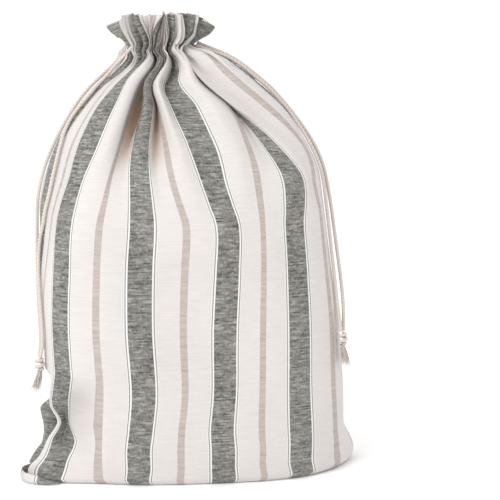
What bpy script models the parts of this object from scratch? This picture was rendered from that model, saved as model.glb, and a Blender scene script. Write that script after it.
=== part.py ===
"""A striped linen drawstring bread bag, standing full. Metres, +Z up, its front faces -Y."""

import math
from collections import namedtuple

import bmesh
import bpy
from mathutils import Vector

# ---------------------------------------------------------------- driving dimensions
STRIPE_REPEATS = 9             # grey stripes around the bag, 66.7 mm apart on the flat cloth
WARPS = 2 * STRIPE_REPEATS     # a warp is half a repeat: even ones carry grey, odd ones brown
CLOTH = 0.0010                 # thickness of the linen
CORD = 0.0030                  # thickness of a drawcord strand
GAP = 0.0003                   # air between two touching pieces

COLUMNS = 96                   # faces round the bag
OUTLINE_STEPS = 240            # steps used to measure the way round a section

# The bag's outline, section by section from the floor to the rim. centre_x places a section,
# half_width and half_depth size it, square is its superellipse power and turn its twist in
# degrees. grey_1 to grey_4 say how far round from its middle front, in warps, the front's grey
# stripes lie (warps 0, 2, 4 and 6), because the cloth isn't gathered evenly.
Section = namedtuple(
    "Section", "height centre_x half_width half_depth square turn grey_1 grey_2 grey_3 grey_4")
SECTIONS = [
    Section(0.000, 0.004, 0.1170, 0.0520, 2.7, 6, -3.3, -1.6, 0.5, 2.5),
    Section(0.004, 0.004, 0.1235, 0.0560, 2.7, 6, -3.3, -1.6, 0.5, 2.5),
    Section(0.015, 0.003, 0.1270, 0.0580, 2.7, 6, -3.3, -1.5, 0.5, 2.4),
    Section(0.030, 0.003, 0.1280, 0.0585, 2.7, 6, -3.3, -1.5, 0.5, 2.4),
    Section(0.048, 0.002, 0.1290, 0.0585, 2.7, 6, -3.3, -1.4, 0.5, 2.4),
    Section(0.080, 0.001, 0.1290, 0.0590, 2.7, 6, -3.3, -1.3, 0.6, 2.4),
    Section(0.130, -0.002, 0.1275, 0.0595, 2.7, 6, -3.3, -1.3, 0.7, 2.5),
    Section(0.180, -0.006, 0.1245, 0.0595, 2.6, 6, -3.2, -1.2, 0.9, 2.7),
    Section(0.215, -0.008, 0.1220, 0.0585, 2.6, 6, -3.1, -1.1, 1.0, 2.8),
    Section(0.235, -0.009, 0.1205, 0.0560, 2.5, 6, -3.0, -1.1, 0.9, 2.9),
    Section(0.262, -0.008, 0.1150, 0.0495, 2.4, 5, -2.9, -1.2, 0.7, 2.9),
    Section(0.290, -0.009, 0.1020, 0.0435, 2.3, 4, -2.8, -1.2, 0.5, 2.5),
    Section(0.314, -0.010, 0.0860, 0.0385, 2.2, 3, -2.7, -1.2, 0.3, 2.0),
    Section(0.332, -0.012, 0.0685, 0.0335, 2.1, 2, -2.5, -1.2, 0.1, 1.7),
    Section(0.345, -0.012, 0.0530, 0.0290, 2.1, 1, -2.3, -0.9, 0.3, 1.6),
    Section(0.354, -0.016, 0.0410, 0.0255, 2.2, 0, -1.9, -0.5, 0.6, 2.0),
    Section(0.3595, -0.023, 0.0320, 0.0235, 2.2, 0, -1.8, -0.4, 0.8, 2.3),
    Section(0.365, -0.027, 0.0275, 0.0220, 2.3, 0, -1.7, -0.3, 1.1, 2.5),
    Section(0.372, -0.027, 0.0310, 0.0245, 2.3, 0, -1.8, -0.5, 1.1, 2.5),
    Section(0.380, -0.026, 0.0385, 0.0295, 2.2, 0, -1.7, -0.6, 0.9, 2.1),
    Section(0.389, -0.026, 0.0440, 0.0340, 2.2, 0, -1.4, -0.5, 0.8, 1.7),
]
HALF_STEP_ROWS = range(10, 14)  # sections followed by one more, half-way to the next
NECK_HEIGHT = 0.365
SHOULDER_HEIGHT = 0.315

# Folds of the gathered cloth. Each passes warps `rim`, `neck` and `foot`, ends at height `low`,
# is `narrow` warps wide at the neck and `wide` ones below, and rises (or, below zero, cuts in) by
# rim_rise, neck_rise and shoulder_rise on its way down. draw is how much it draws warps together.
Fold = namedtuple(
    "Fold", "rim neck foot low narrow wide rim_rise neck_rise shoulder_rise draw")
FOLDS = [
    Fold(-1.3, -1.6, -1.5, 0.270, 1.0, 1.0, -0.006, -0.007, -0.004, 0.3),
    Fold(-0.4, -0.5, -0.6, 0.260, 0.8, 0.8, -0.002, -0.005, -0.004, 0.2),
    Fold(0.8, 0.5, 0.4, 0.325, 0.7, 0.7, -0.006, -0.006, -0.001, 0.2),
    Fold(1.5, 1.4, 1.3, 0.215, 0.8, 0.95, -0.002, -0.008, -0.017, 0.5),
    Fold(2.4, 2.6, 2.65, 0.205, 0.7, 0.95, -0.003, -0.006, -0.017, 0.5),
    Fold(3.4, 3.4, 3.5, 0.320, 0.7, 0.7, -0.010, -0.008, -0.003, 0.2),
    Fold(4.3, 4.4, 4.5, 0.320, 0.8, 0.8, -0.002, -0.004, -0.001, 0.1),
    Fold(5.4, 5.8, 5.95, 0.235, 0.7, 1.0, -0.005, -0.006, -0.015, 0.85),
    Fold(6.4, 6.6, 7.4, 0.290, 0.8, 0.9, -0.011, -0.008, -0.003, 0.3),
    Fold(7.8, 7.8, 8.0, 0.290, 0.9, 1.0, -0.003, -0.006, -0.003, 0.2),
    Fold(9.1, 9.0, 9.2, 0.230, 0.9, 1.1, -0.009, -0.007, -0.012, 0.4),
    Fold(10.2, 10.1, 10.2, 0.310, 0.8, 0.9, -0.003, -0.006, -0.003, 0.2),
    Fold(11.4, 11.3, 11.1, 0.205, 0.9, 1.1, -0.010, -0.008, -0.015, 0.5),
    Fold(12.6, 12.5, 12.5, 0.320, 0.8, 0.9, -0.003, -0.006, -0.002, 0.2),
    Fold(13.7, 13.6, 13.9, 0.220, 0.9, 1.1, -0.009, -0.007, -0.014, 0.5),
    Fold(15.0, 14.9, 14.8, 0.290, 0.8, 1.0, -0.005, -0.006, -0.004, 0.2),
    Fold(0.6, 0.75, 0.65, 0.205, 0.6, 1.1, 0.000, 0.001, 0.006, -0.2),
    Fold(4.3, 4.4, 4.6, 0.190, 0.8, 1.8, 0.000, 0.000, 0.006, -0.2),
    Fold(6.2, 6.0, 6.9, 0.250, 0.6, 1.1, 0.000, 0.001, 0.007, -0.1),
]
FULL_DRAW_RISE = 0.010         # a fold this deep draws its warps together by all of its draw
# Where the loaves inside press outwards, and where the cloth has sunk in.
Lump = namedtuple("Lump", "warp height width tall rise")
LUMPS = [
    Lump(0.45, 0.036, 1.1, 0.036, -0.010),
    Lump(-0.5, 0.062, 1.4, 0.036, 0.004),
    Lump(-2.0, 0.056, 1.2, 0.034, 0.007),
    Lump(-1.4, 0.040, 1.0, 0.022, -0.006),
    Lump(2.7, 0.150, 2.6, 0.160, -0.003),
    Lump(5.6, 0.100, 2.4, 0.150, 0.002),
    Lump(0.6, 0.215, 2.0, 0.070, 0.003),
    Lump(3.4, 0.200, 2.2, 0.070, 0.003),
    Lump(6.0, 0.250, 1.8, 0.060, 0.003),
    Lump(12.0, 0.140, 2.6, 0.170, -0.004),
    Lump(10.2, 0.210, 2.2, 0.110, 0.003),
    Lump(14.1, 0.200, 2.2, 0.110, 0.003),
]
# The stuffed corners of the bottom seam stick out sideways at the floor.
Ear = namedtuple("Ear", "warp width low high reach_x reach_y")
EARS = [
    Ear(-1.1, 3.4, 0.008, 0.040, -0.031, -0.012),
    Ear(7.9, 2.6, 0.008, 0.040, 0.012, 0.004),
]
# The rim hangs down where a pleat has fallen open.
Droop = namedtuple("Droop", "warp width drop")
DROOPS = [Droop(-2.5, 3.4, 0.023), Droop(8.6, 3.0, 0.013), Droop(3.4, 1.2, 0.003)]


# The two drawcords leave the casing at the sides, and each side's strands are tied together.
# Each route runs from the casing down to the knot, over the cloth.
LEFT_FRONT_ROUTE = [
    (-0.0480, -0.0192, 0.3635), (-0.0545, -0.0115, 0.3572), (-0.0625, -0.0080, 0.3490),
    (-0.0745, -0.0090, 0.3355), (-0.0837, -0.0187, 0.3252), (-0.0912, -0.0203, 0.3166),
    (-0.0996, -0.0190, 0.3053), (-0.1054, -0.0247, 0.2932), (-0.1090, -0.0300, 0.2795),
    (-0.1120, -0.0345, 0.2658), (-0.1148, -0.0382, 0.2528), (-0.1176, -0.0402, 0.2400),
    (-0.1205, -0.0405, 0.2290), (-0.1226, -0.0392, 0.2180), (-0.1266, -0.0335, 0.2020),
    (-0.1288, -0.0295, 0.1770), (-0.1275, -0.0322, 0.1500), (-0.1262, -0.0348, 0.1300),
    (-0.1262, -0.0352, 0.1150), (-0.1280, -0.0352, 0.1038)]
LEFT_BACK_ROUTE = [
    (-0.0575, 0.0010, 0.3595), (-0.0645, 0.0000, 0.3500), (-0.0755, 0.0000, 0.3398),
    (-0.0865, -0.0030, 0.3290), (-0.0965, -0.0030, 0.3170), (-0.1068, -0.0030, 0.3012),
    (-0.1150, -0.0050, 0.2860), (-0.1212, -0.0100, 0.2715), (-0.1262, -0.0150, 0.2555),
    (-0.1296, -0.0200, 0.2358), (-0.1308, -0.0190, 0.2135), (-0.1312, -0.0190, 0.1930),
    (-0.1312, -0.0200, 0.1675), (-0.1304, -0.0220, 0.1415), (-0.1290, -0.0265, 0.1265),
    (-0.1286, -0.0300, 0.1150), (-0.1296, -0.0310, 0.1038)]
RIGHT_FRONT_ROUTE = [
    (0.0035, -0.0040, 0.3640), (0.0095, -0.0025, 0.3620), (0.0180, -0.0010, 0.3588),
    (0.0300, -0.0010, 0.3545), (0.0415, -0.0010, 0.3475), (0.0530, 0.0010, 0.3382),
    (0.0655, 0.0030, 0.3278), (0.0782, 0.0055, 0.3138), (0.0888, 0.0030, 0.2998),
    (0.0978, 0.0020, 0.2860), (0.1045, 0.0010, 0.2730), (0.1090, 0.0000, 0.2615),
    (0.1118, -0.0010, 0.2490), (0.1138, -0.0020, 0.2330), (0.1160, -0.0030, 0.2155),
    (0.1180, -0.0040, 0.1980), (0.1202, -0.0060, 0.1790), (0.1220, -0.0080, 0.1630),
    (0.1238, -0.0110, 0.1460), (0.1256, -0.0160, 0.1320), (0.1268, -0.0185, 0.1225)]
RIGHT_BACK_ROUTE = [
    (0.0045, 0.0030, 0.3665), (0.0105, 0.0040, 0.3640), (0.0190, 0.0042, 0.3607),
    (0.0310, 0.0043, 0.3556), (0.0430, 0.0045, 0.3482), (0.0550, 0.0060, 0.3388),
    (0.0675, 0.0080, 0.3280), (0.0797, 0.0100, 0.3143), (0.0905, 0.0080, 0.3008),
    (0.1002, 0.0070, 0.2870), (0.1075, 0.0060, 0.2735), (0.1125, 0.0050, 0.2595),
    (0.1160, 0.0042, 0.2430), (0.1190, 0.0035, 0.2255), (0.1218, 0.0025, 0.2055),
    (0.1246, 0.0010, 0.1855), (0.1275, -0.0015, 0.1635), (0.1292, -0.0060, 0.1450),
    (0.1294, -0.0110, 0.1320), (0.1290, -0.0145, 0.1225)]
ROUTES = {
    "cord_left_front": LEFT_FRONT_ROUTE,
    "cord_left_back": LEFT_BACK_ROUTE,
    "cord_right_front": RIGHT_FRONT_ROUTE,
    "cord_right_back": RIGHT_BACK_ROUTE,
}
CORD_STEP = 2.5 * CORD         # between points of a strand's tube

# Where each side's knot hangs, and which way the frayed ends below it lean.
Knot = namedtuple("Knot", "centre lean")
KNOTS = {
    "left": Knot((-0.1291, -0.0334, 0.0975), (-0.0040, -0.0015, 0.0000)),
    "right": Knot((0.1281, -0.0172, 0.1160), (0.0030, -0.0015, 0.0000)),
}
KNOT_RADIUS = 0.0042
KNOT_HALF_HEIGHT = 0.0056
KNOT_RIDGE = 0.12              # share of the radius by which the wound cord stands out
KNOT_WINDING = 1.6 * math.pi   # angle the wound cord turns through over half the knot's height

TAIL_STRANDS = 12
TAIL_HEAD_RADIUS = 0.0026
TAIL_HEAD_HEIGHT = 0.0022
TAIL_LENGTH = 0.0170
TAIL_SPREAD = 0.0034
TAIL_STEPS = 3


def smooth_bump(distance, width):
    """One at the middle, nothing from half a width away, with soft shoulders."""
    share = min(1.0, abs(distance) / (width / 2))
    return 0.5 + 0.5 * math.cos(math.pi * share)


def smooth_between(value, low, high, at_low, at_high):
    """Goes softly from at_low to at_high as the value goes from low to high."""
    share = min(1.0, max(0.0, (value - low) / (high - low)))
    return at_low + (at_high - at_low) * share * share * (3 - 2 * share)


def warp_distance(warp, other):
    """Signed distance between two warps, the short way round the bag."""
    return (warp - other + WARPS / 2) % WARPS - WARPS / 2


def section_at(station):
    """The section at a row number of the table, read from a smooth curve through its rows."""
    row = min(len(SECTIONS) - 2, max(0, math.floor(station)))
    share = station - row
    rows = [SECTIONS[min(len(SECTIONS) - 1, max(0, row + k))] for k in (-1, 0, 1, 2)]
    values = []
    for before, start, end, after in zip(*rows):
        leave, arrive = (end - before) / 2, (after - start) / 2
        values.append(
            start + leave * share
            + (3 * (end - start) - 2 * leave - arrive) * share ** 2
            + (2 * (start - end) + leave + arrive) * share ** 3)
    return Section(*values)


def outline(section):
    """Points of a section's superellipse from its middle front, and the length up to each."""
    points, lengths = [], [0.0]
    power = 2 / section.square
    spin = math.radians(section.turn)
    for step in range(OUTLINE_STEPS + 1):
        angle = 2 * math.pi * step / OUTLINE_STEPS
        across, ahead = math.sin(angle), math.cos(angle)
        x = section.half_width * math.copysign(abs(across) ** power, across)
        y = -section.half_depth * math.copysign(abs(ahead) ** power, ahead)
        points.append(Vector((
            section.centre_x + x * math.cos(spin) - y * math.sin(spin),
            x * math.sin(spin) + y * math.cos(spin),
            section.height)))
        if step:
            lengths.append(lengths[-1] + (points[-1] - points[-2]).length)
    return points, lengths


def outline_point(points, lengths, share):
    """The point at a share of the way round an outline."""
    target = (share % 1.0) * lengths[-1]
    low, high = 0, len(lengths) - 1
    while high - low > 1:
        middle = (low + high) // 2
        if lengths[middle] <= target:
            low = middle
        else:
            high = middle
    return points[low].lerp(points[high], (target - lengths[low]) / (lengths[high] - lengths[low]))


def way_round(section, warp):
    """How far round from its section's middle front a warp lies, as a share of the outline."""
    warps = (0, 2, 4, 6, WARPS)
    places = (section.grey_1, section.grey_2, section.grey_3, section.grey_4,
              section.grey_1 + WARPS)
    turns, inside = divmod(warp, WARPS)
    slopes = [(places[k + 1] - places[k]) / (warps[k + 1] - warps[k]) for k in range(4)]
    leans = [2 * slopes[k - 1] * slopes[k] / (slopes[k - 1] + slopes[k]) for k in range(4)]
    leans.append(leans[0])
    k = max(k for k in range(4) if warps[k] <= inside)
    gap = warps[k + 1] - warps[k]
    share = (inside - warps[k]) / gap
    rise = places[k + 1] - places[k]
    place = (places[k] + leans[k] * gap * share
             + (3 * rise - (2 * leans[k] + leans[k + 1]) * gap) * share ** 2
             + ((leans[k] + leans[k + 1]) * gap - 2 * rise) * share ** 3)
    return place / WARPS + turns


def fold_at(fold, height):
    """The warp, width and rise that a fold has at a height."""
    rim_height = SECTIONS[-1].height
    if height > NECK_HEIGHT:
        span = (height, NECK_HEIGHT, rim_height)
        return (smooth_between(*span, fold.neck, fold.rim), fold.narrow,
                smooth_between(*span, fold.neck_rise, fold.rim_rise))
    along = max(0.0, (height - fold.low) / (NECK_HEIGHT - fold.low))
    warp = fold.foot + (fold.neck - fold.foot) * along
    width = fold.wide + (fold.narrow - fold.wide) * along
    middle = max(SHOULDER_HEIGHT, (fold.low + NECK_HEIGHT) / 2)
    if height > middle:
        rise = smooth_between(height, middle, NECK_HEIGHT, fold.shoulder_rise, fold.neck_rise)
    else:
        rise = smooth_between(height, fold.low, middle, 0.0, fold.shoulder_rise)
    return warp, width, rise


def folded(warp, height):
    """How far folds and lumps lift the cloth off its plain outline, and move it along that."""
    rise, shift = 0.0, 0.0
    for fold in FOLDS:
        if height <= fold.low:
            continue
        middle, width, fold_rise = fold_at(fold, height)
        distance = warp_distance(warp, middle)
        bump = smooth_bump(distance, width)
        rise += fold_rise * bump
        strength = min(1.0, abs(fold_rise) / FULL_DRAW_RISE)
        shift -= fold.draw * strength * distance * smooth_bump(distance, 2 * width)
    for lump in LUMPS:
        rise += (lump.rise * smooth_bump(warp_distance(warp, lump.warp), lump.width)
                 * smooth_bump(height - lump.height, lump.tall))
    return rise, shift


class Cloth:
    """The bag's outer face: warps run up it, stations count its sections."""

    STEP = 0.05                # of a warp and of a station, between points a normal is taken from

    def __init__(self):
        self.outlines = {}

    def plain(self, station, warp):
        if station not in self.outlines:
            section = section_at(station)
            self.outlines[station] = (*outline(section), section)
        points, lengths, section = self.outlines[station]
        return outline_point(points, lengths, way_round(section, warp))

    def normal(self, station, warp):
        low, high = max(0, station - self.STEP), min(len(SECTIONS) - 1, station + self.STEP)
        across = self.plain(station, warp + self.STEP) - self.plain(station, warp - self.STEP)
        up = self.plain(high, warp) - self.plain(low, warp)
        return across.cross(up).normalized()

    def point(self, station, warp):
        height = section_at(station).height
        rise, shift = folded(warp, height)
        point = self.plain(station, warp + shift) + self.normal(station, warp + shift) * rise
        for ear in EARS:
            reach = smooth_bump(warp_distance(warp, ear.warp), ear.width)
            reach *= smooth_between(height, ear.low, ear.high, 1, 0)
            point.x += ear.reach_x * reach
            point.y += ear.reach_y * reach
        rim = smooth_between(height, NECK_HEIGHT, SECTIONS[-1].height, 0, 1)
        for droop in DROOPS:
            point.z -= droop.drop * rim * smooth_bump(warp_distance(warp, droop.warp), droop.width)
        return point


def new_object(name, mesh, material):
    part = bpy.data.objects.new(name, mesh)
    part.data.materials.append(material)
    bpy.context.scene.collection.objects.link(part)
    return part


def material(name, colour, roughness):
    made = bpy.data.materials.new(name)
    made.use_nodes = True
    shader = made.node_tree.nodes["Principled BSDF"]
    shader.inputs["Base Color"].default_value = (*colour, 1)
    shader.inputs["Roughness"].default_value = roughness
    return made


def join_rings(shape, lower, upper):
    for a in range(COLUMNS):
        b = (a + 1) % COLUMNS
        shape.faces.new((lower[a], lower[b], upper[b], upper[a]))


def build_bag(linen):
    """One striped cloth: flat base, stuffed body, pleated neck and ruffle."""
    cloth = Cloth()
    stations = []
    for row in range(len(SECTIONS)):
        stations.append(row)
        if row in HALF_STEP_ROWS:
            stations.append(row + 0.5)
    shape = bmesh.new()
    rings = []
    for station in stations:
        ring = []
        for column in range(COLUMNS):
            ring.append(shape.verts.new(cloth.point(station, WARPS * column / COLUMNS)))
        rings.append(ring)
    for lower, upper in zip(rings, rings[1:]):
        join_rings(shape, lower, upper)
    shape.faces.new(reversed(rings[0]))
    shape.normal_update()
    places = [[vert.co - vert.normal * CLOTH for vert in ring] for ring in rings]
    inner = [[shape.verts.new(place) for place in ring] for ring in places]
    for vert in inner[0]:
        vert.co.z = CLOTH
    for lower, upper in zip(inner, inner[1:]):
        join_rings(shape, upper, lower)
    shape.faces.new(inner[0])
    join_rings(shape, rings[-1], inner[-1])
    mesh = bpy.data.meshes.new("bag")
    shape.to_mesh(mesh)
    shape.free()
    mesh.shade_smooth()
    return new_object("bag", mesh, linen)


def smooth_route(route):
    """Points every CORD_STEP or so along a smooth curve through a route's points."""
    points = [Vector(point) for point in route]
    ends = [2 * points[0] - points[1]] + points + [2 * points[-1] - points[-2]]
    fine = []
    for before, start, end, after in zip(ends, ends[1:], ends[2:], ends[3:]):
        steps = max(1, round((end - start).length / CORD_STEP))
        leave, arrive = (end - before) / 2, (after - start) / 2
        for step in range(steps):
            share = step / steps
            fine.append(
                start + leave * share
                + (3 * (end - start) - 2 * leave - arrive) * share ** 2
                + (2 * (start - end) + leave + arrive) * share ** 3)
    return fine + [points[-1]]


def build_strand(name, route, cotton):
    """One strand of drawcord, as a round tube with flat ends."""
    points = smooth_route(route)
    curve = bpy.data.curves.new(name, "CURVE")
    curve.dimensions = "3D"
    curve.bevel_depth = CORD / 2
    curve.bevel_resolution = 2
    curve.use_fill_caps = True
    spline = curve.splines.new("POLY")
    spline.points.add(len(points) - 1)
    for knot, point in zip(spline.points, points):
        knot.co = (*point, 1)
    return new_object(name, curve, cotton)


def build_knot(name, centre, cotton):
    """The knot of two strands: an egg with the cord's turn standing out around it."""
    shape = bmesh.new()
    bmesh.ops.create_uvsphere(shape, u_segments=16, v_segments=10, radius=1)
    for vert in shape.verts:
        turn = math.atan2(vert.co.y, vert.co.x) + KNOT_WINDING * vert.co.z
        girth = 1 + KNOT_RIDGE * math.cos(turn) * (1 - vert.co.z ** 2)
        vert.co.x *= KNOT_RADIUS * girth
        vert.co.y *= KNOT_RADIUS * girth
        vert.co.z *= KNOT_HALF_HEIGHT
    mesh = bpy.data.meshes.new(name)
    shape.to_mesh(mesh)
    shape.free()
    mesh.shade_smooth()
    knot = new_object(name, mesh, cotton)
    knot.location = centre
    return knot


def build_tails(name, knot, cotton):
    """The frayed ends below a knot: a round head whose underside is drawn out into strands."""
    shape = bmesh.new()
    bmesh.ops.create_cone(
        shape, cap_ends=True, cap_tris=True, segments=TAIL_STRANDS,
        radius1=TAIL_HEAD_RADIUS, radius2=TAIL_HEAD_RADIUS, depth=TAIL_HEAD_HEIGHT)
    roots = [face for face in shape.faces if all(vert.co.z < 0 for vert in face.verts)]
    bmesh.ops.inset_individual(shape, faces=roots, thickness=GAP / 2, use_even_offset=True)
    for _ in range(TAIL_STEPS):
        roots = bmesh.ops.extrude_discrete_faces(shape, faces=roots)["faces"]
        for face in roots:
            centre = face.calc_center_median()
            step_out = Vector((centre.x, centre.y, 0)).normalized() * TAIL_SPREAD
            step_down = Vector((0, 0, -TAIL_LENGTH))
            for vert in face.verts:
                vert.co += (step_out + step_down + Vector(knot.lean)) / TAIL_STEPS
    mesh = bpy.data.meshes.new(name)
    shape.to_mesh(mesh)
    shape.free()
    tails = new_object(name, mesh, cotton)
    drop = KNOT_HALF_HEIGHT + GAP + TAIL_HEAD_HEIGHT / 2
    tails.location = Vector(knot.centre) - Vector((0, 0, drop))
    return tails


def stand_on_origin(bag, parts):
    """Hangs the parts on an empty that puts the middle of the bag's floor box at the origin."""
    middle = [0.0, 0.0]
    for axis in range(2):
        places = [vert.co[axis] for vert in bag.data.vertices]
        middle[axis] = (min(places) + max(places)) / 2
    origin = bpy.data.objects.new("bag_origin", None)
    origin.location = (-middle[0], -middle[1], 0)
    bpy.context.scene.collection.objects.link(origin)
    for part in parts:
        part.parent = origin


def main():
    for old in list(bpy.data.objects):
        bpy.data.objects.remove(old)
    linen = material("Linen", (0.86, 0.82, 0.78), 0.9)
    cotton = material("Cotton cord", (0.78, 0.70, 0.64), 0.85)
    bag = build_bag(linen)
    parts = [bag]
    for name, route in ROUTES.items():
        parts.append(build_strand(name, route, cotton))
    for side, knot in KNOTS.items():
        parts.append(build_knot("knot_" + side, knot.centre, cotton))
        parts.append(build_tails("tails_" + side, knot, cotton))
    stand_on_origin(bag, parts)


main()
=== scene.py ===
"""A striped linen drawstring bread bag, standing full, with its cords, camera and light."""
import math
from collections import namedtuple

import bpy
import numpy as np
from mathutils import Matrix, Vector


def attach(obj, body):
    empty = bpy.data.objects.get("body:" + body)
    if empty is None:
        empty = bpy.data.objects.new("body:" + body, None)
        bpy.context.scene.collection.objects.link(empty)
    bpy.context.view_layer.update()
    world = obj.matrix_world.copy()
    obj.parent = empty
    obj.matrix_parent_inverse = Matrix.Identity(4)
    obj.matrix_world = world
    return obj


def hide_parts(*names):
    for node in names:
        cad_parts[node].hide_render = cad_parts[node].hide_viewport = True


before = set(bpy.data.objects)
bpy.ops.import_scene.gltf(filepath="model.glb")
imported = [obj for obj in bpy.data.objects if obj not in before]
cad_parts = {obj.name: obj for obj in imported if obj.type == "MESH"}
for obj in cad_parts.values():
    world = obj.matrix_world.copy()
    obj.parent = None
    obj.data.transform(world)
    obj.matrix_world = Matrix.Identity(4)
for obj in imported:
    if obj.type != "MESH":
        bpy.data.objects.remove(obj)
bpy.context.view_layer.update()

bpy.ops.object.select_all(action="DESELECT")


# ================================================================ Camera
# The bag is seen from just above its shoulder, a little to the right of its middle,
# through a long lens.
camera = bpy.data.objects.new("camera", bpy.data.cameras.new("camera"))
camera.data.sensor_width = 36
camera.data.lens = 97.41
camera.location = (0.0538, -1.1505, 0.370)
camera.rotation_euler = (math.radians(90 - 8.894), 0, 0)
bpy.context.scene.collection.objects.link(camera)
bpy.context.scene.camera = camera
bpy.context.scene.view_settings.view_transform = "Standard"


# ================================================================ Drawcords
# Two cotton cords run through the casing and leave it at the sides. Each is laid from three
# plies. A side's two strands come down over the cloth and are knotted together at their ends.
CORD = 0.0030                  # thickness of a strand
PLIES = 3
LAY_LENGTH = 0.0100            # along the cord, for one full turn of a ply
PLY_RELIEF = 0.13              # depth of the groove between two plies, as a share of the radius
PLY_SWELL = 1.6                # times that depth, a ply's crown stands over the groove
CORD_SIDES = 18
CORD_STEP = 0.0008             # between two rings of the mesh
# Colours of a ply's crown, and of the shade painted into the groove between two plies.
PLY_TOP = (0.66, 0.605, 0.565)
PLY_GROOVE_SHADE = (0.42, 0.36, 0.315)

# The CAD routes are written from the middle of the bag's seat, this far from the origin.
BAG_SEAT = np.array((0.004834, -0.000465, 0.0))
ROUTES = {
    "cord_left_front": [
        (-0.0480, -0.0192, 0.3635), (-0.0545, -0.0115, 0.3572), (-0.0625, -0.0080, 0.3490),
        (-0.0745, -0.0090, 0.3355), (-0.0837, -0.0187, 0.3252), (-0.0912, -0.0203, 0.3166),
        (-0.0996, -0.0190, 0.3053), (-0.1054, -0.0247, 0.2932), (-0.1090, -0.0300, 0.2795),
        (-0.1120, -0.0345, 0.2658), (-0.1148, -0.0382, 0.2528), (-0.1176, -0.0402, 0.2400),
        (-0.1205, -0.0405, 0.2290), (-0.1226, -0.0392, 0.2180), (-0.1266, -0.0335, 0.2020),
        (-0.1288, -0.0295, 0.1770), (-0.1275, -0.0322, 0.1500), (-0.1262, -0.0348, 0.1300),
        (-0.1262, -0.0352, 0.1150), (-0.1280, -0.0352, 0.1038)],
    "cord_left_back": [
        (-0.0575, 0.0010, 0.3595), (-0.0645, 0.0000, 0.3500), (-0.0755, 0.0000, 0.3398),
        (-0.0865, -0.0030, 0.3290), (-0.0965, -0.0030, 0.3170), (-0.1068, -0.0030, 0.3012),
        (-0.1150, -0.0050, 0.2860), (-0.1212, -0.0100, 0.2715), (-0.1262, -0.0150, 0.2555),
        (-0.1296, -0.0200, 0.2358), (-0.1308, -0.0190, 0.2135), (-0.1312, -0.0190, 0.1930),
        (-0.1312, -0.0200, 0.1675), (-0.1304, -0.0220, 0.1415), (-0.1290, -0.0265, 0.1265),
        (-0.1286, -0.0300, 0.1150), (-0.1296, -0.0310, 0.1038)],
    "cord_right_front": [
        (0.0035, -0.0040, 0.3640), (0.0095, -0.0025, 0.3620), (0.0180, -0.0010, 0.3588),
        (0.0300, -0.0010, 0.3545), (0.0415, -0.0010, 0.3475), (0.0530, 0.0010, 0.3382),
        (0.0655, 0.0030, 0.3278), (0.0782, 0.0055, 0.3138), (0.0888, 0.0030, 0.2998),
        (0.0978, 0.0020, 0.2860), (0.1045, 0.0010, 0.2730), (0.1090, 0.0000, 0.2615),
        (0.1118, -0.0010, 0.2490), (0.1138, -0.0020, 0.2330), (0.1160, -0.0030, 0.2155),
        (0.1180, -0.0040, 0.1980), (0.1202, -0.0060, 0.1790), (0.1220, -0.0080, 0.1630),
        (0.1238, -0.0110, 0.1460), (0.1256, -0.0160, 0.1320), (0.1268, -0.0185, 0.1225)],
    "cord_right_back": [
        (0.0045, 0.0030, 0.3665), (0.0105, 0.0040, 0.3640), (0.0190, 0.0042, 0.3607),
        (0.0310, 0.0043, 0.3556), (0.0430, 0.0045, 0.3482), (0.0550, 0.0060, 0.3388),
        (0.0675, 0.0080, 0.3280), (0.0797, 0.0100, 0.3143), (0.0905, 0.0080, 0.3008),
        (0.1002, 0.0070, 0.2870), (0.1075, 0.0060, 0.2735), (0.1125, 0.0050, 0.2595),
        (0.1160, 0.0042, 0.2430), (0.1190, 0.0035, 0.2255), (0.1218, 0.0025, 0.2055),
        (0.1246, 0.0010, 0.1855), (0.1275, -0.0015, 0.1635), (0.1292, -0.0060, 0.1450),
        (0.1294, -0.0110, 0.1320), (0.1290, -0.0145, 0.1225)],
}


def eased(start, end, leave, arrive, share):
    """Goes from start to end with the given slopes at both, at a share of the way."""
    rise = end - start
    return (start + leave * share + (3 * rise - 2 * leave - arrive) * share ** 2
            + (leave + arrive - 2 * rise) * share ** 3)


def smooth_curve(rows, stations):
    """Reads a table of numbers at fractional row places, along a smooth curve through its rows."""
    table = np.asarray(rows, float)
    last = len(table) - 1
    row = np.clip(np.floor(stations).astype(int), 0, last - 1)
    share = (stations - row)[:, None]
    before, start, end, after = (table[np.clip(row + k, 0, last)] for k in (-1, 0, 1, 2))
    return eased(start, end, (end - before) / 2, (after - start) / 2, share)


def run_along(line):
    """How far along a line each of its points lies."""
    return np.concatenate(([0], np.cumsum(np.linalg.norm(np.diff(line, axis=0), axis=1))))


def even_line(points, step):
    """A smooth line through a route's points, with points one step apart."""
    points = np.asarray(points, float)
    ends = np.vstack((2 * points[0] - points[1], points, 2 * points[-1] - points[-2]))
    fine = smooth_curve(ends, np.linspace(1, len(points), 40 * len(points)))
    run = run_along(fine)
    places = np.linspace(0, run[-1], max(2, round(run[-1] / step)) + 1)
    return np.column_stack([np.interp(places, run, fine[:, axis]) for axis in range(3)])


def across_frames(line):
    """Two directions square to a line at each of its points, carried along it without twist."""
    ahead = np.gradient(line, axis=0)
    ahead /= np.linalg.norm(ahead, axis=1)[:, None]
    side = np.cross(ahead[0], (0.3, -1.0, 0.2))
    sides = []
    for way in ahead:
        side = side - way * np.dot(side, way)
        side /= np.linalg.norm(side)
        sides.append(side)
    sides = np.array(sides)
    return sides, np.cross(ahead, sides)


def placed(name, mesh):
    """A piece of the scene with this mesh, at the origin."""
    mesh.shade_smooth()
    piece = bpy.data.objects.new(name, mesh)
    bpy.context.scene.collection.objects.link(piece)
    return piece


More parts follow.
